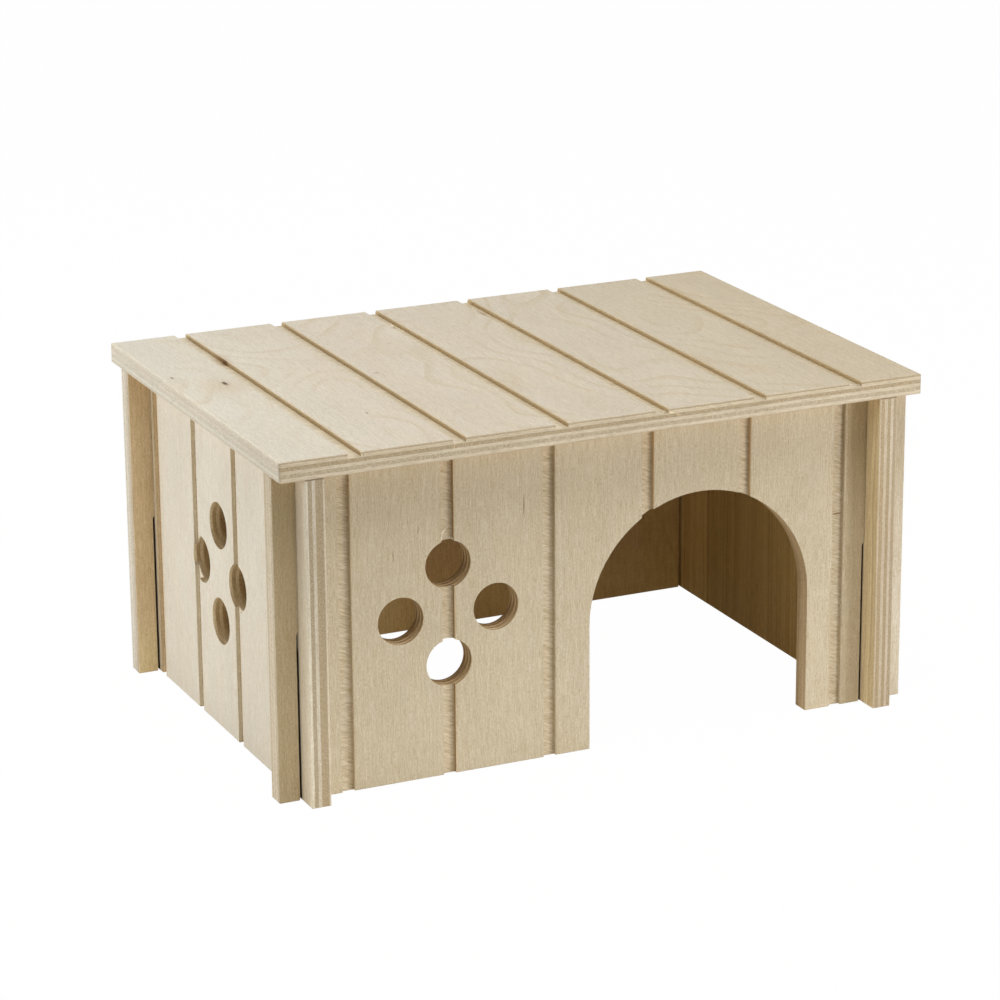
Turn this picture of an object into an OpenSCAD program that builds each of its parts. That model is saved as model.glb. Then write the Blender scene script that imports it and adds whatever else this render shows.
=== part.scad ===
/* [House] */
// Width of the front and back panels, ear to ear
house_w = 357; // [320:1:420]
// Length of the side panels, front to back
house_d = 245.5; // [215:0.5:300]
// Height of the four walls
wall_h = 171; // [150:1:220]
// Thickness of the wall plywood
wall_t = 10.5; // [8:0.5:13]
// Radius that breaks the outer edges of the walls
wall_ease = 0.6; // [0.2:0.1:1.5]

/* [Roof] */
// Thickness of the roof plywood
roof_t = 11; // [9:0.5:16]
// Overhang of the roof past the ears at the left and right
roof_over_x = 1; // [0:0.5:30]
// Overhang of the roof past the side panels at the front and back
roof_over_y = 0.25; // [0:0.25:30]
// Radius of the rounded roof edges
roof_ease = 1.5; // [0.5:0.1:3]

/* [Corner joints] */
// How far the front and back panels run past the side panels
front_ear = 12.7; // [8:0.1:25]
// How far the side panels run past the front and back panels
side_ear = 13.25; // [8:0.25:25]
// Height of the slots cut up into the front and back panels
slot_h = 90; // [70:1:105]
// How much wider a slot is than the plywood that it takes
slot_play = 1.4; // [0.6:0.1:2]
// Corner radius that the cutter leaves at the end of a slot
slot_r = 3; // [1:0.5:4]
// Free height left between the ends of two crossing slots
shoulder_gap = 2; // [1:0.5:5]
// How far the side panels sit to the right of the middle of their slots
side_shift = 0.5; // [0:0.1:0.6]
// How far the slots and grooves of the front and back panels sit left of their middle
cut_shift = 1; // [-2:0.5:2]

/* [Grooves] */
// Distance between grooves on the roof, front and back
groove_pitch = 56; // [40:1:70]
// Distance between grooves on the sides
side_groove_pitch = 58.5; // [40:0.5:70]
// How far the side grooves sit behind the middle of the panel
side_groove_off = 4.5; // [0:0.5:10]
// Width of a groove on the roof, front and back
groove_w = 7; // [4:0.5:10]
// Width of a groove on the sides
side_groove_w = 6.5; // [4:0.5:10]
// Depth of a groove
groove_d = 2.3; // [1:0.1:3.5]

/* [Door] */
// Clear width of the door
door_w = 127.5; // [90:0.5:150]
// Height at which the straight jambs turn into the arch
door_spring = 67.5; // [40:0.5:80]
// Middle of the door, to the right of the middle of the house
door_x = 57.5; // [40:0.5:70]

/* [Air holes] */
// Diameter of an air hole
hole_d = 25; // [15:1:30]
// Distance of each hole from the middle of its group of four
hole_reach = 26.2; // [22:0.1:32]
// Height of the middle of a group of holes
hole_z = 86.4; // [70:0.1:100]
// Middle of the group on the left side, behind the middle of the panel
side_hole_y = 0; // [-15:1:15]

/* [Dowels] */
// Diameter of a roof dowel
dowel_d = 6; // [5:0.5:8]
// Length of a roof dowel
dowel_l = 17; // [14:0.5:25]
// Length of the dowel that is glued into the roof
dowel_in_roof = 7; // [5:0.5:8]
// Distance of the dowels from the middle of the house
dowel_x = 112; // [100:1:125]
// Chamfer at the ends of a dowel
dowel_ease = 0.8; // [0.3:0.1:1.5]
// How much wider than the dowel its hole in the wall is
dowel_play = 0.5; // [0.3:0.1:1]
// How much wider than the dowel its glued hole in the roof is
dowel_glue = 0.1; // [0.05:0.05:0.3]
// Free depth past each end of a dowel
dowel_end = 0.6; // [0.3:0.1:2]

/* [Hidden] */
$fn = 64;

ply_face = "#d8cdb6";
ply_front = "#c6b896";
ply_side = "#dbd2bf";
dowel_wood = "#cfb58c";

// Overshoot of every cut past the face that it opens
cut = 1;

roof_w = house_w + 2 * roof_over_x;
roof_d = house_d + 2 * roof_over_y;
slot_w = wall_t + slot_play;

// Middle planes of the four walls
front_mid = -(house_d / 2 - side_ear - wall_t / 2);
back_mid = -front_mid;
slot_reach = house_w / 2 - front_ear - wall_t / 2;
left_slot = -cut_shift - slot_reach;
right_slot = -cut_shift + slot_reach;
left_mid = left_slot + side_shift;
right_mid = right_slot + side_shift;

// Clear distances inside the slots, which the grooves keep to
inner_x = slot_reach - slot_w / 2;
inner_y = back_mid - slot_w / 2;

// Groove places, as many as fit between the corner joints
groove_max = ceil(house_w / groove_pitch);
front_grooves = [for (i = [-groove_max : groove_max - 1])
    let (x = (i + 0.5) * groove_pitch)
    if (abs(x) + groove_w / 2 < inner_x) x];
side_grooves = [for (i = [-groove_max : groove_max - 1])
    let (y = (i + 0.5) * side_groove_pitch + side_groove_off)
    if (abs(y) + side_groove_w / 2 < inner_y) y];

// The front group of holes is centred on the second groove
front_hole_x = -cut_shift - 1.5 * groove_pitch;

// A rectangle centred on the origin with round corners
module eased_rect(w, h, r) {
    square([w - 2 * r, h], center = true);
    square([w, h - 2 * r], center = true);
    for (x = [-1, 1], y = [-1, 1])
        translate([x * (w / 2 - r), y * (h / 2 - r)]) circle(r);
}

// A slot that opens downwards past y = 0 and ends at height h with round corners
module slot_outline(w, h, r) {
    translate([-w / 2, -cut]) square([w, h - r + cut]);
    translate([-w / 2 + r, -cut]) square([w - 2 * r, h + cut]);
    for (x = [-1, 1])
        translate([x * (w / 2 - r), h - r]) circle(r);
}

// The door, a semicircle on two straight jambs, open at the bottom
module door_outline() {
    translate([door_x, door_spring]) circle(d = door_w, $fn = 128);
    translate([door_x - door_w / 2, -cut]) square([door_w, door_spring + cut]);
}

// Four round air holes in a diamond
module hole_group(middle) {
    for (a = [0 : 90 : 270])
        translate([middle + hole_reach * cos(a), hole_z + hole_reach * sin(a)])
            circle(d = hole_d);
}

// A sheet of wall plywood centred on the origin, standing on z = 0, with its outer edges broken
module wall_sheet(w) {
    intersection() {
        translate([0, wall_t / 2, wall_h / 2]) rotate([90, 0, 0])
            linear_extrude(wall_t) eased_rect(w, wall_h, wall_ease);
        linear_extrude(wall_h) eased_rect(w, wall_t, wall_ease);
        translate([-w / 2, 0, wall_h / 2]) rotate([90, 0, 90])
            linear_extrude(w) eased_rect(wall_t, wall_h, wall_ease);
    }
}

// Turns a flat outline into a cut right through a wall sheet
module through_wall() {
    translate([0, wall_t / 2 + cut, 0]) rotate([90, 0, 0])
        linear_extrude(wall_t + 2 * cut) children();
}

// Upright grooves in the face of a wall sheet that looks along -Y
module wall_grooves(places, w) {
    for (x = places)
        translate([x - w / 2, -wall_t / 2 - cut, -cut])
            cube([w, groove_d + cut, wall_h + 2 * cut]);
}

// Holes for the roof dowels in the top edge of the front or back panel
module dowel_holes() {
    depth = dowel_l - dowel_in_roof + dowel_end;
    for (x = [-dowel_x, dowel_x])
        translate([x, 0, wall_h - depth])
            cylinder(d = dowel_d + dowel_play, h = depth + cut);
}

// Front or back panel: grooved on the face towards -Y, slotted from below at both corners
module long_wall(shift) {
    difference() {
        wall_sheet(house_w);
        wall_grooves([for (x = front_grooves) x + shift], groove_w);
        for (x = [-slot_reach, slot_reach])
            through_wall() translate([x + shift, 0]) slot_outline(slot_w, slot_h, slot_r);
        dowel_holes();
    }
}

// Side panel: grooved on the face towards -Y, slotted from above at both corners
module short_wall(places) {
    difference() {
        wall_sheet(house_d);
        wall_grooves(places, side_groove_w);
        for (y = [front_mid, back_mid])
            through_wall() translate([y, wall_h]) mirror([0, 1])
                slot_outline(slot_w, wall_h - slot_h + shoulder_gap, slot_r);
    }
}

// Roof: one grooved sheet with rounded edges that lies flat on the four walls
module roof_panel() {
    color(ply_face)
        translate([0, 0, wall_h])
        difference() {
            intersection() {
                translate([0, roof_d / 2, roof_t / 2]) rotate([90, 0, 0])
                    linear_extrude(roof_d) eased_rect(roof_w, roof_t, roof_ease);
                translate([-roof_w / 2, 0, roof_t / 2]) rotate([90, 0, 90])
                    linear_extrude(roof_w) eased_rect(roof_d, roof_t, roof_ease);
                linear_extrude(roof_t) eased_rect(roof_w, roof_d, roof_ease);
            }
            for (x = front_grooves)
                translate([x - groove_w / 2, -roof_d / 2 - cut, roof_t - groove_d])
                    cube([groove_w, roof_d + 2 * cut, groove_d + cut]);
            for (x = [-dowel_x, dowel_x], y = [front_mid, back_mid])
                translate([x, y, -cut])
                    cylinder(d = dowel_d + dowel_glue, h = dowel_in_roof + dowel_end + cut);
        }
}

// Front wall with the arched door and one group of air holes
module front_panel() {
    color(ply_front)
        translate([0, front_mid, 0])
        difference() {
            long_wall(-cut_shift);
            through_wall() door_outline();
            through_wall() hole_group(front_hole_x);
        }
}

// Back wall, the same sheet without openings, grooved on its outer face
module back_panel() {
    color(ply_front)
        translate([0, back_mid, 0]) rotate([0, 0, 180]) long_wall(cut_shift);
}

// Left wall with the second group of air holes
module left_panel() {
    color(ply_side)
        translate([left_mid, 0, 0]) rotate([0, 0, -90])
        difference() {
            short_wall([for (y = side_grooves) -y]);
            through_wall() hole_group(-side_hole_y);
        }
}

// Right wall, without openings
module right_panel() {
    color(ply_side)
        translate([right_mid, 0, 0]) rotate([0, 0, 90]) short_wall(side_grooves);
}

// Round pin with chamfered ends, glued into the roof and loose in the wall below
module dowel(x, y) {
    color(dowel_wood)
        translate([x, y, wall_h - (dowel_l - dowel_in_roof)]) {
            cylinder(d1 = dowel_d - 2 * dowel_ease, d2 = dowel_d, h = dowel_ease);
            translate([0, 0, dowel_ease])
                cylinder(d = dowel_d, h = dowel_l - 2 * dowel_ease);
            translate([0, 0, dowel_l - dowel_ease])
                cylinder(d1 = dowel_d, d2 = dowel_d - 2 * dowel_ease, h = dowel_ease);
        }
}

roof_panel();
front_panel();
back_panel();
left_panel();
right_panel();
dowel(-dowel_x, front_mid);  // dowel_front_left
dowel(dowel_x, front_mid);  // dowel_front_right
dowel(-dowel_x, back_mid);  // dowel_back_left
dowel(dowel_x, back_mid);  // dowel_back_right
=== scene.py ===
import math

import bpy
from mathutils import Matrix, Vector


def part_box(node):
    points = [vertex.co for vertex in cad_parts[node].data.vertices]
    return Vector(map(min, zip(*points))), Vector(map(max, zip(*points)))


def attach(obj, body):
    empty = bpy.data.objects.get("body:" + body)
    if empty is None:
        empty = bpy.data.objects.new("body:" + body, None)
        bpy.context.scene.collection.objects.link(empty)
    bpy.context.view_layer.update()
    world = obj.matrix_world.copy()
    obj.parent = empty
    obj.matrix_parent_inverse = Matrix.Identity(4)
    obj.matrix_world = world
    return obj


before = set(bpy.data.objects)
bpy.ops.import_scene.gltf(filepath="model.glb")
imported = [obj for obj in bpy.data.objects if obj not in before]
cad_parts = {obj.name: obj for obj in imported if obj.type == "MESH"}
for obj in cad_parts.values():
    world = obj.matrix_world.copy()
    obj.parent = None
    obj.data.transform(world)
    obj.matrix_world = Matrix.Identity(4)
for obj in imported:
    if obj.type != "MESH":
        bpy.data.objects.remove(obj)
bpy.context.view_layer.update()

# The view: a long lens in front of the house and to its left, looking down on the roof.
# Place, turns and focal length come from fitting the corners, holes and grooves of the sheets
# to the photograph.
camera_place = Vector((-0.80142, -1.73183, 0.71079))
camera_azimuth = math.radians(-24.673)
camera_elevation = math.radians(17.662)
camera_roll = math.radians(-0.444)
scene = bpy.context.scene
camera_data = bpy.data.cameras.new("photo_camera")
camera_data.sensor_width = 36.0
camera_data.lens = 134.69
camera_data.clip_start = 0.05
camera_data.clip_end = 50.0
camera = bpy.data.objects.new("photo_camera", camera_data)
scene.collection.objects.link(camera)
aim = Matrix.Rotation(camera_azimuth, 4, "Z") @ Matrix.Rotation(math.pi / 2 - camera_elevation, 4, "X")
camera.matrix_world = Matrix.Translation(camera_place) @ aim @ Matrix.Rotation(camera_roll, 4, "Z")
scene.camera = camera


# The studio: a white table and backdrop that read as pure white in the picture, two soft lamps
# overhead, one behind, and low softboxes at the left, at the left rear and at the front right.
class Link:
    """One socket among a material's nodes. Arithmetic on it adds Math nodes to that material."""

    def __init__(self, tree, socket=None):
        self.tree = tree
        self.socket = socket

    def node(self, kind, settings, inputs, output=0):
        """Adds any node: its settings first, then the values or links of its sockets."""
        node = self.tree.nodes.new(kind)
        for name, value in settings.items():
            if name == "stops":
                while len(node.color_ramp.elements) < len(value):
                    node.color_ramp.elements.new(0.5)
                for element, (place, colour) in zip(node.color_ramp.elements, value):
                    element.position = place
                    element.color = (*colour, 1.0)
            else:
                setattr(node, name, value)
        for key, value in inputs.items():
            if isinstance(value, Link):
                self.tree.links.new(value.socket, node.inputs[key])
            else:
                node.inputs[key].default_value = value
        return Link(self.tree, node.outputs[output]) if node.outputs else None

    def maths(self, operation, *values):
        return self.node("ShaderNodeMath", {"operation": operation}, dict(enumerate(values)))

    def __add__(self, other):
        return self.maths("ADD", self, other)

    def __sub__(self, other):
        return self.maths("SUBTRACT", self, other)

    def __rsub__(self, other):
        return self.maths("SUBTRACT", other, self)

    def __mul__(self, other):
        return self.maths("MULTIPLY", self, other)

    def __truediv__(self, other):
        return self.maths("DIVIDE", self, other)

    __radd__ = __add__
    __rmul__ = __mul__

    def between(self, low, high):
        """0 below low, 1 above high, and smooth between them."""
        ends = {"Value": self, "From Min": low, "From Max": high}
        return self.node("ShaderNodeMapRange", {"interpolation_type": "SMOOTHSTEP"}, ends)

    def ramp(self, *stops):
        """A colour for each value from 0 to 1."""
        return self.node("ShaderNodeValToRGB", {"stops": stops}, {"Fac": self})

    def tinted(self, share, colour, way="MULTIPLY"):
        """This colour with another multiplied, or mixed, into it by a share from 0 to 1."""
        settings = {"data_type": "RGBA", "blend_type": way, "clamp_result": False}
        other = colour if isinstance(colour, Link) else (*colour, 1.0)
        return self.node("ShaderNodeMix", settings, {0: share, 6: self, 7: other}, 2)

    def grey(self):
        return self.node("ShaderNodeCombineColor", {}, {0: self, 1: self, 2: self})

    def as_surface(self, roughness, relief, strength, distance, refraction=1.5):
        """Closes a material in this colour. A relief of 1 is as high as the distance in metres."""
        heights = {"Strength": strength, "Distance": distance, "Height": relief}
        bump = self.node("ShaderNodeBump", {}, heights)
        inputs = {"Base Color": self, "Roughness": roughness, "Normal": bump, "IOR": refraction}
        surface = self.node("ShaderNodeBsdfPrincipled", {}, inputs)
        self.node("ShaderNodeOutputMaterial", {}, {"Surface": surface})


def start_material(name):
    """A material without nodes, and a link from which its nodes are added."""
    material = bpy.data.materials.new(name)
    material.use_nodes = True
    material.node_tree.nodes.clear()
    return material, Link(material.node_tree)


def white_to_camera(start, share, other):
    """Shows pure white to the camera by a share, and the other shader to all other rays."""
    white = start.node("ShaderNodeEmission", {}, {"Color": (1.0, 1.0, 1.0, 1.0)})
    seen = start.node("ShaderNodeLightPath", {}, {}, "Is Camera Ray") * share
    return start.node("ShaderNodeMixShader", {}, {0: seen, 1: other, 2: white})


scene.view_settings.view_transform = "Standard"
backdrop = bpy.data.worlds.new("white_backdrop")
scene.world = backdrop
backdrop.use_nodes = True
backdrop.node_tree.nodes.clear()
air = Link(backdrop.node_tree)
room_light = air.node("ShaderNodeBackground", {}, {"Color": (1.0, 0.97, 0.93, 1.0), "Strength": 0.03})
air.node("ShaderNodeOutputWorld", {}, {"Surface": white_to_camera(air, 1.0, room_light)})

table_size = 8.0
table_paint, paint = start_material("white_table_paint")
matt = paint.node("ShaderNodeBsdfDiffuse", {}, {"Color": (0.82, 0.80, 0.75, 1.0)})
# The table also glows faintly and warmly: a painted glow that lights the house from below.
glow = paint.node("ShaderNodeEmission", {}, {"Color": (1.0, 0.88, 0.68, 1.0), "Strength": 0.11})
glowing_table = paint.node("ShaderNodeAddShader", {}, {0: matt, 1: glow})
paint.node("ShaderNodeOutputMaterial", {}, {"Surface": white_to_camera(paint, 0.99, glowing_table)})
bpy.ops.mesh.primitive_plane_add(size=table_size, location=(0.0, 0.0, 0.0))
table = bpy.context.object
table.name = "table"
table.data.materials.append(table_paint)


def softbox(name, azimuth, elevation, distance, size, power, colour):
    """A square soft lamp, aimed at the middle of the house. Its azimuth counts from the front and
    its elevation from the table, both in degrees. Distance and size are in metres."""
    middle = Vector((0.0, 0.0, 0.1))
    turn = math.radians(azimuth)
    rise = math.radians(elevation)
    way = Vector((math.sin(turn) * math.cos(rise), -math.cos(turn) * math.cos(rise), math.sin(rise)))
    lamp_data = bpy.data.lights.new(name, "AREA")
    lamp_data.shape = "SQUARE"
    lamp_data.size = size
    lamp_data.energy = power
    lamp_data.color = colour
    lamp = bpy.data.objects.new(name, lamp_data)
    scene.collection.objects.link(lamp)
    lamp.location = middle + way * distance
    lamp.rotation_mode = "QUATERNION"
    lamp.rotation_quaternion = (-way).to_track_quat("-Z", "Y")


softbox("overhead_left", -45, 70, 1.4, 0.8, 8.2, (1.0, 0.985, 0.96))
softbox("overhead_front", 0, 75, 1.4, 0.6, 7.2, (1.0, 0.985, 0.95))
softbox("rear", 180, 40, 1.4, 0.8, 5.4, (0.93, 0.97, 1.0))
softbox("low_left", -90, 8, 1.2, 0.5, 2.6, (1.0, 0.97, 0.92))
softbox("low_left_rear", -125, 8, 1.2, 0.5, 5.6, (0.94, 0.97, 1.0))
softbox("low_front_right", 45, 8, 1.3, 0.5, 7.0, (1.0, 0.975, 0.94))


# The roof: one sheet of birch plywood with rounded edges that lies loose on the walls. Six
# grooves are milled through its face veneer and tear the fibres of the cross ply below.
mm_to_a_metre = 1000.0


class Plywood:
    """Solid plywood. The depth in mm under the outer face tells which ply a point is in, and
    each ply has its own thickness, its own tone where it is cut, and grain of its own direction.
    marks: pairs of a share and a tint that finish lays over the sheet, one after the other.
    cabin: where the inner face takes the inside colour, a darker inner veneer with the painted shade of
    the cabin.
    brown: how many times as much as red, green and blue fall where the wood is darker.
    skin: the two depths in mm between which the face veneer gives way. ply_change: half the
    depth in which one ply gives way to the next. fibre_coarseness: how fuzzy the fibres are."""

    marks = ()
    cabin = 1
    brown = (1.1, 1.3)
    skin = (0.3, 0.7)
    ply_change = 0.06
    fibre_coarseness = 0.62

    def __init__(self, name, axes, outer_face, inward, plies, grooves, seed):
        """axes: letters of the directions along the face grain, across it and through the sheet.
        outer_face: its place in mm. inward: 1 or -1, the way from there into the sheet.
        plies: thickness in mm, 1 where the grain runs across, and the tones of the ply where it is
        cut along its grain and where its end grain shows.
        grooves: place of one groove across the sheet, their spacing and their width in mm.
        seed: another number gives another sheet of the same wood."""
        self.material, start = start_material(name)
        self.start = start
        self.thickness = sum(ply[0] for ply in plies)
        self.seed = seed
        along, across, through = axes
        point = start.node("ShaderNodeTexCoord", {}, {}, "Object")
        facing = start.node("ShaderNodeNewGeometry", {}, {}, "True Normal")
        place = {axis: self.part(point, axis) * mm_to_a_metre for axis in axes}
        turned = {axis: start.maths("ABSOLUTE", self.part(facing, axis)) for axis in axes}
        self.along = place[along]
        self.across = place[across]
        self.facing_across = turned[across]
        self.depth = (place[through] - outer_face) * inward

        # The plies, from the outer face inwards. Their glue lines wander a little.
        wander = (self.noise(0.03, 0.03, 0.0, 2.0, 0.6, 1) - 0.5) * 0.45
        level = (self.depth + wander) / self.thickness
        hair = self.ply_change / self.thickness
        kinds = []
        sides = []
        ends = []
        top = 0.0
        for ply, crossing, side_tone, end_tone in plies:
            bottom = top + ply / self.thickness
            kinds += [(top + hair, (crossing,) * 3), (bottom - hair, (crossing,) * 3)]
            sides += [(top + hair, side_tone), (bottom - hair, side_tone)]
            ends += [(top + hair, end_tone), (bottom - hair, end_tone)]
            top = bottom
        crossing = level.ramp(*kinds)
        self.end_grain = turned[along] * (1 - crossing) + turned[across] * crossing
        self.cut_tone = level.ramp(*sides).tinted(self.end_grain, level.ramp(*ends), "MIX")
        flat = turned[through].between(0.6, 0.95)
        self.flat = flat
        skin, under_skin = self.skin
        self.on_skin = flat * (1 - self.depth.between(skin, under_skin))
        self.on_inside = flat * self.depth.between(self.thickness - under_skin, self.thickness - skin)
        self.in_groove = flat * (1 - self.on_skin - self.on_inside)

        # Distance from the middle of the nearest groove, negative on its left
        first, pitch, width = grooves
        turns = start.maths("FRACT", (self.across - first) / pitch + 100.5)
        self.from_groove = (turns - 0.5) * pitch
        self.groove_width = width
        reach = (start.maths("ABSOLUTE", self.from_groove) - width / 2).between(0.3, 0.8)
        self.groove_wall = self.facing_across * (1 - reach) * (1 - self.depth.between(3.0, 3.5))

        # Grain: long fibres, fine ones, short flecks, and torn fibres where the grain runs across
        self.drift = (self.noise(0.012, 0.03, 0.0, 1.0, 0.5, 2) - 0.5) * 8.0
        run = self.streaks(0.025, 0.5, 1.0, 3) * 0.2 + self.streaks(0.14, 1.5, 1.0, 4) * 0.45
        run = run + self.streaks(0.7, 1.7, 0.0, 8) * 0.35
        cross_run = self.cross_streaks(0.05, 0.9, 2.0, 5) * 0.4
        cross_run = cross_run + self.cross_streaks(0.25, 2.2, 1.0, 6) * 0.6
        self.fibres = run * (1 - crossing) + cross_run * crossing - 0.5
        lean = (self.along + self.from_groove * 0.45) * 1.1
        self.torn = self.noise_at(lean, self.across * 0.16, self.depth, 3.0, 0.65) - 0.5
        self.torn = self.torn * self.in_groove
        self.pores = self.streaks(0.16, 1.5, 0.0, 13).between(0.74, 0.84) * (1 - crossing) * flat
        self.speckle = self.solid_noise(1.5, 2.0, 0.7) - 0.5

    def part(self, vector, axis):
        """The x, y or z of a vector, by its letter."""
        return self.start.node("ShaderNodeSeparateXYZ", {}, {0: vector}, "XYZ".index(axis.upper()))

    def noise_at(self, lengthways, sideways, inward, detail, roughness):
        """Soft clouds from 0 to 1, about one unit wide, in a place made of three numbers."""
        at = self.start.node("ShaderNodeCombineXYZ", {}, {0: lengthways, 1: sideways, 2: inward})
        inputs = {"Vector": at, "Scale": 1.0, "Detail": detail, "Roughness": roughness}
        return self.start.node("ShaderNodeTexNoise", {}, inputs)

    def noise(self, along, across, through, detail, roughness, layer):
        """Clouds with so many to the mm along, across and through the sheet. Each layer of clouds
        has its own number, so that no two are alike."""
        lengthways = self.along * along + self.seed * 7.3
        sideways = self.across * across + layer * 5.7
        inward = self.depth * through + layer * 3.1
        return self.noise_at(lengthways, sideways, inward, detail, roughness)

    def streaks(self, along, across, detail, layer):
        """Fibres along the sheet."""
        lengthways = self.along * along + self.seed * 3.7
        sideways = (self.across + self.drift) * across + layer * 4.3
        return self.noise_at(lengthways, sideways, self.depth * across, detail, self.fibre_coarseness)

    def cross_streaks(self, along, across, detail, layer):
        """Fibres across the sheet, in the plies that are turned."""
        lengthways = self.along * across + self.across * 0.06 + layer * 4.3
        sideways = self.across * along + self.seed * 3.7
        return self.noise_at(lengthways, sideways, self.depth * across, detail, self.fibre_coarseness)

    def solid_noise(self, scale, detail, roughness):
        """Clouds of the same size in all directions."""
        lengthways = self.along * scale
        sideways = self.across * scale
        return self.noise_at(lengthways, sideways, self.depth * scale, detail, roughness)

    def within(self, value, low, high, soft=0.3):
        """1 where a value lies from low to high, with soft ends."""
        return value.between(low - soft, low) * (1 - value.between(high, high + soft))

    def strip(self, low, high, soft=0.3):
        """1 on an upright strip of a wall, given by its two sides."""
        return self.within(self.across, low, high, soft)

    def below(self, low, high):
        """1 at the foot of a wall up to the lower height, 0 above the higher one."""
        return 1 - self.along.between(low, high)

    def cabin_part(self, half_width):
        """1 on the part of a wall that the cabin has inside, and less towards the roof, so that its
        painted shade fades upwards.
        """
        return self.strip(-half_width, half_width) * (1 - self.along.between(105.0, 190.0) * 0.7)

    def browned(self, tone):
        """A grey tone as a tint whose dark side turns to brown, as wood does."""
        green, blue = [(tone - 1) * swing + 1 for swing in self.brown]
        return self.start.node("ShaderNodeCombineColor", {}, {0: tone, 1: green, 2: blue})

    def spot(self, centre, size, softness=0.6):
        """1 in an ellipse on the sheet, given across and along, that fades out at its rim."""
        sideways = (self.across - centre[0]) / size[0]
        lengthways = (self.along - centre[1]) / size[1]
        from_centre = self.start.maths("SQRT", sideways * sideways + lengthways * lengthways)
        ragged = self.solid_noise(0.9, 1.0, 0.5) * 0.5 - 0.25
        return 1 - (from_centre + ragged).between(1 - softness, 1.0)

    def edge_stroke(self, begin, end, width):
        """1 on a short stroke over a cut edge. Its ends are given across and in depth."""
        run = Vector(end) - Vector(begin)
        way = run.normalized()
        across = self.across - (begin[0] + end[0]) / 2
        inward = self.depth - (begin[1] + end[1]) / 2
        lengthways = (across * way.x + inward * way.y) / (run.length / 2)
        sideways = (inward * way.x - across * way.y) / (width / 2)
        from_middle = self.start.maths("SQRT", lengthways * lengthways + sideways * sideways)
        return (1 - from_middle.between(0.5, 1.0)) * (1 - self.flat)

    def finish(self, face, inside, contrast, flame, floor, wall, rim, relief_share):
        """Colours the sheet: sanded face, inner face with the painted shade of the cabin, cut plies,
        grooves and marks.
        contrast: of the fibres. flame: of the figure. floor: tint of a groove's bottom. wall: tints
        of its sides for depths from 0 to 3 mm. rim: tint of the face beside it on its right.
        relief_share: how strongly fibres and torn wood stand out."""
        clouds = self.noise(0.012, 0.022, 0.0, 2.0, 0.55, 9)
        cloud_tones = clouds.ramp((0.32, (0.965, 0.96, 0.95)), (0.68, (1.025, 1.03, 1.035)))
        warmth = self.noise(0.02, 0.07, 0.0, 2.0, 0.5, 10)
        warm_tones = warmth.ramp((0.3, (1.008, 0.997, 0.975)), (0.7, (0.995, 0.998, 1.005)))
        rings = self.noise(0.0075, 0.011, 0.0, 1.0, 0.4, 11)
        swing = self.start.maths("FRACT", rings * 14.0)
        figure = swing.between(0.55, 0.97) * (1 - swing.between(0.97, 1.0)) * clouds.between(0.40, 0.58)
        colour = (self.on_inside * self.cabin).ramp((0.0, face), (1.0, inside))
        colour = colour.tinted(1.0, cloud_tones)
        colour = colour.tinted(1.0, warm_tones)
        colour = colour.tinted(figure * self.flat * flame, (0.93, 0.89, 0.82))
        colour = colour.tinted(1 - self.on_skin - self.on_inside, self.cut_tone)

        # The cutter leaves the veneer ragged at the left of a groove and scuffed at its right
        half = self.groove_width / 2
        nibble = (self.noise(0.9, 0.3, 0.0, 3.0, 0.75, 12) - 0.45) * 1.8
        bitten = self.in_groove * (1 - (self.from_groove + half + nibble).between(0.0, 0.4))
        beside = self.from_groove - half
        scuffed = self.on_skin * beside.between(-0.3, 0.0)
        scuffed = scuffed * (1 - (beside + nibble * 0.3).between(0.4, 1.7))
        colour = colour.tinted(self.in_groove, floor)
        colour = colour.tinted(self.groove_wall, (self.depth / 3.0).ramp(*wall))
        colour = colour.tinted(scuffed, rim)
        colour = colour.tinted(bitten * 0.8, (1.06, 1.08, 1.10))
        tone = 1 + self.fibres * (contrast * 2.0) * (1 - self.end_grain) - self.pores * 0.16
        tone = tone + self.torn * 0.9 + self.end_grain * self.speckle * 1.4
        colour = colour.tinted(1.0, self.browned(tone))
        for share, tint in self.marks:
            colour = colour.tinted(share, tint)

        relief = self.fibres * 1.2 - self.pores + self.speckle * self.end_grain * 2.0
        relief = relief + self.torn * 6.0 + bitten * 2.0
        dull = 0.56 + self.fibres * 0.2 + (1 - self.flat) * 0.15
        colour.as_surface(dull, relief, relief_share, 0.0001, 1.45)
        return self.material


def dress(name, material):
    """Gives a piece from the model its material."""
    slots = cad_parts[name].data.materials
    slots.clear()
    slots.append(material)


# Inner faces in the cabin: a darker inner veneer, darkened further by painted shade.
inside_veneer_and_shade = (0.68, 0.50, 0.27)
roof_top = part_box("roof_panel")[1].z * mm_to_a_metre
roof_grooves = (28.0, 56.0, 7.0)
groove_depth = 2.3
roof_plies = (
    (1.1, 0, (0.88, 0.91, 0.92), (0.64, 0.55, 0.42)),
    (1.7, 1, (1.07, 1.05, 0.99), (0.84, 0.85, 0.88)),
    (2.0, 0, (0.86, 0.88, 0.91), (0.76, 0.69, 0.57)),
    (1.7, 1, (1.07, 1.07, 1.05), (0.85, 0.87, 0.91)),
    (2.0, 0, (0.88, 0.93, 1.00), (0.87, 0.83, 0.75)),
    (1.8, 1, (1.11, 1.11, 1.10), (0.83, 0.85, 0.89)),
    (0.7, 0, (1.05, 1.12, 1.23), (0.81, 0.78, 0.75)),
)
roof_sheet = Plywood("roof_plywood", "yxz", roof_top, -1.0, roof_plies, roof_grooves, seed=1)
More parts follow.
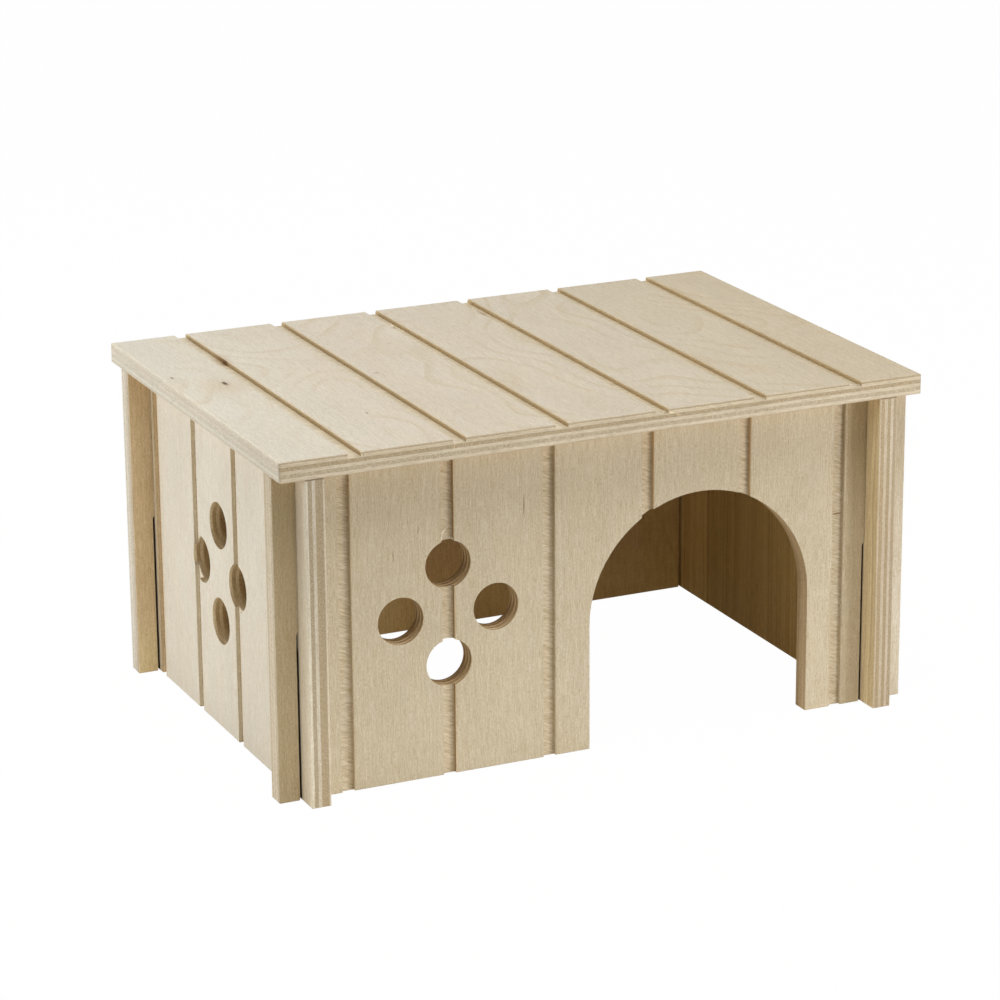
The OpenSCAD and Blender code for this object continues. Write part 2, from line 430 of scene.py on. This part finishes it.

# The face is painted paler and cooler at the left and warmer at the right, as the light from the
# left rear falls on it. A groove's floor is painted lighter at its left and with shade at its
# right, beside its wall, and thin glue lines show on the sheet's left and right edges
left_to_right = (roof_sheet.across + 180.0) / 360.0
painted_light_drift = left_to_right.ramp(
    (0.0, (1.0, 1.0, 1.0)),
    (0.25, (0.97, 0.93, 0.89)),
    (0.7, (0.97, 0.93, 0.88)),
    (1.0, (0.97, 0.90, 0.79)),
)
over_groove = (roof_sheet.from_groove + 4.0) / 8.0
groove_shade = over_groove.ramp((0.52, (1.14, 1.17, 1.25)), (0.78, (0.96, 0.95, 0.91)))
roof_edges = roof_sheet.facing_across * (1 - roof_sheet.flat) * (1 - roof_sheet.groove_wall)
roof_lines = (roof_sheet.depth / roof_sheet.thickness).ramp(
    (0.24, (1.0, 1.0, 1.0)),
    (0.275, (0.90, 0.90, 0.90)),
    (0.31, (0.97, 0.97, 0.97)),
    (0.37, (1.04, 1.04, 1.05)),
    (0.56, (0.98, 0.98, 0.98)),
    (0.60, (0.90, 0.90, 0.90)),
    (0.66, (1.05, 1.05, 1.05)),
    (0.76, (1.06, 1.06, 1.06)),
    (0.83, (0.98, 0.98, 0.98)),
)
# Pale torn fibre at the front edge, painted brighter as a highlight.
lit_torn_fibre = (1.50, 1.46, 1.38)

# After these come a small knot, its heart and the stain round it, a stain in the first groove,
# three flecks, a stain in the fourth groove, splinters of the front edge, pale torn fibre
# painted brighter as lit, one with its painted shadow beside it, and a dent
roof_sheet.marks = (
    (roof_sheet.on_skin, painted_light_drift),
    (1 - roof_sheet.on_skin, (0.97, 0.93, 0.885)),
    (roof_sheet.in_groove, groove_shade),
    (roof_sheet.spot((-152.7, 20.2), (1.9, 5.4), 0.7), (0.34, 0.24, 0.12)),
    (roof_sheet.spot((-152.5, 21.0), (1.1, 2.6), 0.6), (0.20, 0.17, 0.12)),
    (roof_sheet.spot((-155.0, 16.0), (20.0, 26.0), 1.0) * 0.75, (0.93, 0.85, 0.72)),
    (roof_sheet.spot((-136.5, 66.0), (5.0, 14.0), 0.9) * (0.8 - roof_sheet.on_skin * 0.5),
     (0.66, 0.52, 0.36)),
    (roof_sheet.spot((-136.5, 62.5), (2.6, 5.0), 0.8) * (1 - roof_sheet.on_skin * 0.8),
     (0.50, 0.42, 0.32)),
    (roof_sheet.spot((-173.7, 42.2), (0.9, 3.0), 0.5), (0.50, 0.42, 0.34)),
    (roof_sheet.spot((-107.7, -62.3), (0.7, 2.2), 0.5), (0.55, 0.45, 0.35)),
    (roof_sheet.spot((-74.2, 4.3), (2.0, 2.0), 0.5) * 0.6, (0.55, 0.47, 0.38)),
    (roof_sheet.spot((28.0, 97.0), (3.2, 9.0), 0.8) * 0.8, (0.55, 0.42, 0.28)),
    (roof_sheet.edge_stroke((-86.4, 2.2), (-87.3, 5.4), 0.8), lit_torn_fibre),
    (roof_sheet.edge_stroke((31.2, 1.6), (35.2, 2.5), 0.8), lit_torn_fibre),
    (roof_sheet.edge_stroke((34.8, 2.4), (38.8, 4.4), 0.7), (1.45, 1.40, 1.30)),
    (roof_sheet.edge_stroke((-61.4, 6.2), (-60.6, 7.6), 0.6), (1.35, 1.32, 1.28)),
    (roof_sheet.edge_stroke((-60.2, 7.0), (-59.4, 7.8), 0.8), (0.62, 0.54, 0.44)),
    (roof_sheet.edge_stroke((-135.6, 1.5), (-134.8, 1.6), 1.0), (0.40, 0.32, 0.22)),
    (roof_edges, roof_lines),
)
roof_face = (0.685, 0.63, 0.528)
roof_groove_sides = ((0.15, (1.10, 0.95, 0.69)), (0.32, (0.97, 0.81, 0.56)))
roof_material = roof_sheet.finish(
    roof_face, inside_veneer_and_shade, contrast=0.42, flame=0.9, floor=(0.83, 0.82, 0.78),
    wall=roof_groove_sides, rim=(0.97, 0.91, 0.79), relief_share=0.5,
)
dress("roof_panel", roof_material)


# The front panel: plywood with its face grain upright, the arched door and four air holes cut
# through it, and a slot from below at each corner that drops over a side panel.
front_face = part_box("front_panel")[0].y * mm_to_a_metre
front_grooves = (27.0, 56.0, 7.0)
front_plies = (
    (1.0, 0, (0.92, 0.92, 0.90), (0.80, 0.75, 0.68)),
    (1.8, 1, (1.02, 1.00, 0.98), (0.86, 0.84, 0.80)),
    (1.7, 0, (0.98, 0.97, 0.95), (0.85, 0.80, 0.72)),
    (1.7, 1, (1.00, 0.96, 0.88), (0.88, 0.86, 0.82)),
    (1.7, 0, (0.96, 0.95, 0.93), (0.85, 0.80, 0.72)),
    (1.6, 1, (1.00, 0.96, 0.88), (0.84, 0.82, 0.78)),
    (1.0, 0, (0.94, 0.93, 0.90), (0.80, 0.75, 0.68)),
)
front_birch = (0.709, 0.623, 0.472)
half_cabin_width = 160.0
front_brown = (1.28, 2.0)
front_contrast = 0.42
front_groove_rim = (0.96, 0.95, 0.92)
front_relief = 0.17
front_groove_sides = ((0.2, (1.20, 1.22, 1.36)), (0.5, (1.05, 1.04, 1.03)))
bored_wood = ((0.0, (1.24, 1.16, 1.02)), (0.35, (1.12, 1.00, 0.82)), (1.0, (0.66, 0.54, 0.40)))
front_sheet = Plywood("front_plywood", "zxy", front_face, 1.0, front_plies, front_grooves, seed=2)
front_sheet.brown = front_brown
front_sheet.cabin = front_sheet.cabin_part(half_cabin_width)

# The cut edges by their places across the sheet: the air holes, the doorway and the left end.
# The ear is the strip beyond the left panel, painted darker and warmer as the shade of that panel.
ear_start = (166.0, 166.8)
end_start = (177.3, 177.9)
front_edge = 1 - front_sheet.flat
front_bore = front_sheet.strip(-125.0, -45.0) * front_edge
front_jamb = front_sheet.strip(-9.0, 123.5) * front_edge
front_end = (0 - front_sheet.across).between(*end_start) * front_edge
front_ear_shade = (0 - front_sheet.across).between(*ear_start) * front_sheet.on_skin
level_in_front = front_sheet.depth / front_sheet.thickness
jamb_tones = level_in_front.ramp(
    (0.0, (1.22, 1.17, 1.16)),
    (0.14, (1.12, 1.01, 0.87)),
    (0.55, (1.11, 1.00, 0.85)),
    (0.75, (0.93, 0.81, 0.65)),
)
end_tones = level_in_front.ramp(
    (0.0, (0.80, 0.77, 0.74)),
    (0.25, (0.88, 0.88, 0.92)),
    (0.6, (0.88, 0.89, 0.94)),
    (1.0, (0.84, 0.81, 0.78)),
)

# The face is painted darker above its foot, as less light falls there, and darker and warmer
# again at the top right, as painted shade of the roof and the right panel. The strip beside
# that panel is painted warmer as its shade, the right ear paler and cooler as lit, and the
# floors of its grooves have painted shade at their right, beside the wall. The last five are
# three dark fibres over the air holes, a bruise beside them and a nick in the plank at the right
# of the doorway.
front_sheet.marks = (
    (front_sheet.along.between(20.0, 175.0), (0.885, 0.865, 0.835)),
    (front_bore, front_sheet.end_grain.ramp(*bored_wood)),
    (front_jamb, jamb_tones),
    (front_end, end_tones),
    (front_ear_shade, (0.90, 0.84, 0.71)),
    (front_sheet.strip(143.5, 200.0) * front_sheet.along.between(95.0, 140.0), (0.88, 0.84, 0.76)),
    (front_sheet.strip(143.5, 160.0) * front_sheet.on_skin, (1.0, 0.965, 0.895)),
    (front_sheet.across.between(164.0, 166.0) * front_sheet.on_skin, (1.06, 1.09, 1.17)),
    (front_sheet.from_groove.between(2.0, 2.9) * front_sheet.in_groove, (0.83, 0.80, 0.74)),
    (front_sheet.spot((-43.0, 137.8), (0.35, 7.5), 0.5), (0.50, 0.38, 0.27)),
    (front_sheet.spot((-114.8, 121.0), (0.35, 4.0), 0.5), (0.58, 0.46, 0.33)),
    (front_sheet.spot((-101.1, 133.0), (0.35, 3.0), 0.5), (0.62, 0.50, 0.38)),
    (front_sheet.spot((-37.0, 97.1), (1.2, 1.6), 0.7) * 0.5, (0.75, 0.72, 0.68)),
    (front_sheet.spot((139.0, 106.8), (4.0, 0.5), 0.5), (0.45, 0.30, 0.18)),
)
front_material = front_sheet.finish(
    front_birch, inside_veneer_and_shade, contrast=front_contrast, flame=0.15, floor=(1.0, 1.0, 1.0),
    wall=front_groove_sides, rim=front_groove_rim, relief_share=front_relief,
)
dress("front_panel", front_material)

# The back panel: the same sheet without openings, with its grooves to the outside. It keeps the
# left and right panels upright and closes the cabin.
back_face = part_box("back_panel")[1].y * mm_to_a_metre
back_sheet = Plywood("back_plywood", "zxy", back_face, -1.0, front_plies, front_grooves, seed=3)
back_sheet.brown = front_brown
back_sheet.cabin = back_sheet.cabin_part(half_cabin_width)
back_ear = (0 - back_sheet.across).between(*ear_start) * back_sheet.on_inside
back_end = (0 - back_sheet.across).between(*end_start) * (1 - back_sheet.flat)
back_end_tones = (back_sheet.depth / back_sheet.thickness).ramp(
    (0.0, (0.88, 0.93, 1.05)),
    (0.45, (0.86, 0.90, 1.02)),
    (0.7, (0.77, 0.76, 0.80)),
    (1.0, (0.75, 0.71, 0.69)),
)
back_slot = back_sheet.facing_across * back_sheet.strip(-170.0, -150.0)
slot_shadow = (0.10, 0.08, 0.06)

# The left ear, the cut left end, the painted shadow in the slot that takes the left panel, and the
# inner face, which is painted paler low down in its middle and along its foot, as lit through the
# doorway and from the floor, and yellower at its right
back_sheet.marks = (
    (back_ear, (0.988, 0.879, 0.72)),
    (back_end, back_end_tones),
    (back_slot * back_sheet.below(84.0, 92.0), slot_shadow),
    (back_sheet.spot((-15.0, 30.0), (110.0, 60.0), 1.0) * back_sheet.on_inside, (1.30, 1.33, 1.35)),
    (back_sheet.on_inside * back_sheet.below(6.0, 42.0), (1.14, 1.20, 1.17)),
    (back_sheet.on_inside * back_sheet.across.between(120.0, 140.0), (0.97, 0.98, 0.86)),
)
back_material = back_sheet.finish(
    front_birch, inside_veneer_and_shade, contrast=front_contrast, flame=0.5, floor=(1.0, 1.0, 1.0),
    wall=front_groove_sides, rim=front_groove_rim, relief_share=front_relief,
)
dress("back_panel", back_material)

# The side panels: plywood with upright face grain and slots from above that take the front and
# back panels. The left one has four air holes.
side_grooves = (33.75, 58.5, 6.5)
half_cabin_length = 104.0
side_ear = (-200.0, -109.5)
front_crossing = (-109.0, -99.4)
back_crossing = (99.4, 109.0)
side_brown = (1.2, 1.55)
side_contrast = 0.40
side_groove_rim = (0.98, 0.95, 0.90)
side_relief = 0.4
left_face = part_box("left_panel")[0].x * mm_to_a_metre
left_plies = (
    (1.6, 0, (1.21, 1.22, 1.21), (0.90, 0.86, 0.80)),
    (2.1, 1, (1.00, 0.97, 0.92), (0.74, 0.67, 0.56)),
    (1.8, 0, (1.04, 1.03, 1.00), (0.88, 0.85, 0.80)),
    (1.9, 1, (1.00, 0.97, 0.92), (0.75, 0.65, 0.51)),
    (0.3, 0, (0.66, 0.58, 0.47), (0.60, 0.52, 0.40)),
    (1.8, 1, (1.00, 0.97, 0.92), (0.73, 0.64, 0.51)),
    (1.0, 0, (1.04, 1.02, 0.96), (0.90, 0.86, 0.80)),
)
left_sheet = Plywood("left_plywood", "zyx", left_face, 1.0, left_plies, side_grooves, seed=4)
left_sheet.brown = side_brown
left_sheet.cabin = left_sheet.cabin_part(half_cabin_length)

# The walls of the air holes are paler at the outer face and darker towards the inside, streaked
# with char. The rear part of each groove's floor is painted lighter, as lit. The strip beside the
# back panel is painted warmer, as the shade of that panel's ear. Where the front and back panels
# cross this one, only a dark gap shows beside them, painted as shadow. The ear stands out in
# front of the house; its face is painted warmer as shade, and paler low down as lit.
left_bore = left_sheet.strip(-41.0, 41.0) * (1 - left_sheet.flat)
left_bore = left_bore * left_sheet.within(left_sheet.along, 45.0, 128.0) * (1 - left_sheet.groove_wall)
bore_tones = (left_sheet.depth / left_sheet.thickness).ramp(
    (0.0, (1.30, 1.23, 1.04)),
    (0.5, (1.14, 1.03, 0.79)),
    (1.0, (0.76, 0.64, 0.44)),
)
char = left_sheet.cross_streaks(0.02, 0.8, 2.0, 16).between(0.50, 0.66)
left_ear = left_sheet.strip(*side_ear)
left_sheet.marks = (
    (left_bore, bore_tones),
    (left_sheet.in_groove * left_sheet.from_groove.between(0.8, 1.8), (1.38, 1.44, 1.46)),
    (left_bore * left_sheet.end_grain * 0.6, (0.75, 0.66, 0.55)),
    (left_bore * char * 0.5, (0.72, 0.66, 0.56)),
    (left_sheet.strip(88.0, 99.4), (1.05, 0.98, 0.87)),
    (left_ear * left_sheet.on_skin, (1.0, 0.975, 0.92)),
    (left_ear * left_sheet.below(30.0, 140.0), (1.17, 1.17, 1.17)),
    (left_sheet.strip(*back_crossing) * left_sheet.flat, slot_shadow),
    (left_sheet.strip(*front_crossing) * left_sheet.flat * left_sheet.below(77.0, 84.0), slot_shadow),
)
left_birch = (0.638, 0.585, 0.494)
side_groove_sides = ((0.40, (0.81, 0.78, 0.72)), (0.62, (1.27, 1.25, 1.27)))
left_material = left_sheet.finish(
    left_birch, inside_veneer_and_shade, contrast=side_contrast, flame=0.2, floor=(1.05, 1.04, 1.03),
    wall=side_groove_sides, rim=side_groove_rim, relief_share=side_relief,
)
dress("left_panel", left_material)

# The right one has no holes. Its inner face shows through the doorway, with upright bands, a
# pale strip at the back and a thin dark line beside it, and it is painted paler towards the
# front, as lit there, less so and warmer on its ear, with a painted shadow where the front panel
# crosses it.
right_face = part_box("right_panel")[1].x * mm_to_a_metre
right_plies = (
    (0.5, 0, (0.88, 0.87, 0.85), (0.88, 0.84, 0.78)),
    (1.8, 1, (1.00, 0.97, 0.92), (0.75, 0.68, 0.585)),
    (1.5, 0, (0.99, 0.97, 0.95), (0.88, 0.85, 0.80)),
    (1.9, 1, (1.00, 0.97, 0.92), (0.725, 0.646, 0.52)),
    (1.7, 0, (0.95, 0.93, 0.87), (0.88, 0.85, 0.80)),
    (2.1, 1, (1.00, 0.97, 0.92), (0.75, 0.66, 0.53)),
    (1.0, 0, (1.01, 0.97, 0.88), (0.90, 0.86, 0.80)),
)
right_sheet = Plywood("right_plywood", "zyx", right_face, -1.0, right_plies, side_grooves, seed=5)
right_sheet.brown = side_brown
right_sheet.cabin = right_sheet.cabin_part(half_cabin_length)
broad_bands = (right_sheet.streaks(0.002, 0.16, 1.0, 14) - 0.5) * 0.5
narrow_bands = (right_sheet.streaks(0.004, 0.7, 1.0, 15) - 0.5) * 0.5
right_sheet.marks = (
    (right_sheet.on_inside, right_sheet.browned(broad_bands + narrow_bands + 1.0)),
    (right_sheet.strip(66.5, 97.9, 0.6) * right_sheet.on_inside, (1.40, 1.46, 1.64)),
    (right_sheet.strip(63.6, 65.4, 0.4) * right_sheet.on_inside, (0.88, 0.86, 0.84)),
    (right_sheet.on_inside * (1 - right_sheet.across.between(-65.0, 42.0)), (1.50, 1.54, 1.64)),
    (right_sheet.strip(*side_ear) * right_sheet.on_inside, (0.797, 0.725, 0.536)),
    (right_sheet.strip(*back_crossing) * right_sheet.flat, (1.10, 1.0, 0.9)),
    (right_sheet.strip(*front_crossing) * right_sheet.flat, slot_shadow),
)
right_birch = (0.665, 0.585, 0.47)
# The inner face in the cabin: a darker veneer, darkened much further by painted shade.
right_inner_veneer_and_shade = (0.482, 0.345, 0.137)
right_material = right_sheet.finish(
    right_birch, right_inner_veneer_and_shade, contrast=side_contrast, flame=0.3, floor=(1.02, 1.0, 0.97),
    wall=side_groove_sides, rim=side_groove_rim, relief_share=side_relief,
)
dress("right_panel", right_material)

# The dowels: turned beech pins with fine flutes, glued into the roof at its four corners and
# loose in the walls, so that the roof lifts off but cannot slide.
dowel_wood, pin = start_material("dowel_beech")
dowel_across = 112.0
dowel_back = 104.25
flute_count = 24.0
pin_point = pin.node("ShaderNodeTexCoord", {}, {}, "Object")
pin_x, pin_y, pin_z = [pin.node("ShaderNodeSeparateXYZ", {}, {0: pin_point}, axis) for axis in range(3)]
pin_x = pin.maths("ABSOLUTE", pin_x) * mm_to_a_metre - dowel_across
pin_y = pin.maths("ABSOLUTE", pin_y) * mm_to_a_metre - dowel_back
pin_z = pin_z * mm_to_a_metre
flutes = pin.maths("SINE", pin.maths("ARCTAN2", pin_y, pin_x) * flute_count)
fleck_at = pin.node("ShaderNodeCombineXYZ", {}, {0: pin_x * 1.6, 1: pin_y * 1.6, 2: pin_z * 0.25})
flecks = pin.node("ShaderNodeTexNoise", {}, {"Vector": fleck_at, "Scale": 1.0, "Detail": 3.0})
beech = flecks.ramp((0.35, (0.52, 0.34, 0.19)), (0.55, (0.62, 0.44, 0.27)), (0.75, (0.66, 0.49, 0.32)))
# The flutes are painted lighter on their ridges and darker in their hollows, as light and shade.
beech = beech.tinted(1.0, (flutes * 0.06 + 0.95).grey())
beech.as_surface(0.55, flutes + flecks * 0.5, 0.7, 0.0002)
for place in ("front_left", "front_right", "back_left", "back_right"):
    dress("dowel_" + place, dowel_wood)


# The shavings: loose fibres that the cutters and the drill left, thin curls of face veneer that
# still hang at the mouths of the roof grooves, over the top front hole and at two left ones.
shaving_wood, fibre = start_material("shaving_birch")
fibre_point = fibre.node("ShaderNodeTexCoord", {}, {}, "Object")
fibre_tone = fibre.node("ShaderNodeTexNoise", {}, {"Vector": fibre_point, "Scale": 1800.0, "Detail": 2.0})
fibre_colour = fibre_tone.ramp((0.35, (0.84, 0.78, 0.68)), (0.65, (0.96, 0.93, 0.86)))
fibre_colour.as_surface(0.7, fibre_tone, 0.5, 0.0001)

strip_size = (0.00018, 0.0007, 0.0002)
curl_radius = 0.0014
curl_centre = Vector((curl_radius, 0.0, 0.0))
curl_steps = 8
curl_sweep = math.radians(105)
first_thinner_ring = 3
thinning = 0.78
weld_distance = 0.000001
bpy.ops.object.select_all(action="DESELECT")
bpy.ops.mesh.primitive_cube_add(size=1.0, location=(0.0, 0.0, 0.0), scale=strip_size)
shaving = bpy.context.object
shaving.name = "shaving"
bpy.ops.object.transform_apply(location=False, rotation=False, scale=True)
bpy.ops.object.mode_set(mode="EDIT")
bpy.ops.mesh.select_all(action="DESELECT")
bpy.ops.object.mode_set(mode="OBJECT")
for face in shaving.data.polygons:
    face.select = face.normal.z > 0.9
bpy.ops.object.mode_set(mode="EDIT")
bpy.ops.mesh.spin(steps=curl_steps, angle=-curl_sweep, center=curl_centre, axis=(0.0, 1.0, 0.0))
for ring in range(first_thinner_ring, curl_steps + 1):
    start_angle = (ring - 0.5) * curl_sweep / curl_steps
    bpy.ops.object.mode_set(mode="OBJECT")
    for vertex in shaving.data.vertices:
        from_centre = vertex.co - curl_centre
        vertex.select = math.atan2(from_centre.z, -from_centre.x) > start_angle
    bpy.ops.object.mode_set(mode="EDIT")
    bpy.ops.mesh.select_mode(type="VERT")
    bpy.ops.transform.resize(value=(1.0, thinning, 1.0))
bpy.ops.mesh.select_all(action="SELECT")
bpy.ops.mesh.remove_doubles(threshold=weld_distance)
bpy.ops.mesh.normals_make_consistent(inside=False)
bpy.ops.object.mode_set(mode="OBJECT")
shaving.data.materials.append(shaving_wood)


def lay_shavings(name, body, places):
    """Copies of the curl on one body: foot in mm, heading, lean and twist in degrees, and size.
    The curl rises from its foot, and bends over to the side that it is twisted to."""
    bpy.ops.object.select_all(action="DESELECT")
    for foot, heading, lean, twist, size in places:
        turn = Matrix.Rotation(math.radians(heading), 4, "Z") @ Matrix.Rotation(math.radians(lean), 4, "Y")
        turn = turn @ Matrix.Rotation(math.radians(twist), 4, "Z")
        shape = turn @ Matrix.Diagonal((*size, 1.0))
        copy = shaving.copy()
        copy.data = shaving.data.copy()
        copy.data.transform(Matrix.Translation(Vector(foot) / mm_to_a_metre) @ shape)
        scene.collection.objects.link(copy)
        copy.select_set(True)
        bpy.context.view_layer.objects.active = copy
    bpy.ops.object.join()
    piece = bpy.context.object
    piece.name = name
    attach(piece, body)


groove_floor = roof_top - groove_depth
lay_shavings("roof_shavings", "roof", (
    ((-86.6, -121.8, groove_floor), 150, 0, 0, (0.9, 1.2, 1.1)),
    ((-83.0, -121.9, groove_floor), 40, 20, 0, (0.6, 0.8, 0.6)),
    ((-80.9, -121.6, groove_floor), 200, 0, 0, (0.5, 0.8, 0.8)),
    ((30.9, -121.8, groove_floor), 190, 10, 0, (0.9, 1.2, 1.1)),
    ((29.8, -121.6, groove_floor), 240, 0, 0, (0.7, 1.0, 0.8)),
    ((81.0, -121.8, groove_floor), 60, 0, 0, (0.6, 0.8, 1.2)),
    ((86.9, -121.9, groove_floor), 220, 0, 0, (0.8, 1.1, 0.9)),
    ((136.9, -121.8, groove_floor), 20, 0, 0, (0.8, 1.1, 1.1)),
    ((139.6, -121.9, groove_floor), 330, 30, 0, (0.8, 1.0, 0.6)),
    ((142.9, -121.9, groove_floor), 200, 0, 0, (0.7, 1.0, 0.9)),
    ((-27.4, 93.6, groove_floor), 60, 20, 0, (0.8, 1.3, 0.8)),
    ((-26.8, 90.2, groove_floor), 200, 10, 0, (0.6, 1.1, 0.7)),
    ((-26.2, 84.8, groove_floor), 130, 20, 0, (0.8, 1.4, 0.8)),
))
lay_shavings("front_shavings", "walls", (
    ((-88.3, -108.7, 128.6), 0, 42, -90, (0.5, 1.0, 3.4)),
    ((-88.2, -108.9, 125.6), 0, 5, -90, (0.4, 0.7, 1.9)),
    ((-81.9, -108.3, 125.0), 0, -20, -90, (0.4, 0.7, 0.8)),
))
lay_shavings("left_shavings", "walls", (
    ((-165.2, -27.4, 98.4), 90, 10, 90, (0.5, 0.8, 1.0)),
    ((-165.2, -25.6, 98.6), 90, -25, 90, (0.5, 0.8, 0.8)),
    ((-165.6, 21.6, 75.2), 90, 200, -90, (0.5, 0.8, 1.0)),
    ((-165.6, 24.4, 74.6), 90, 160, -90, (0.5, 0.8, 1.1)),
))
bpy.data.objects.remove(shaving)
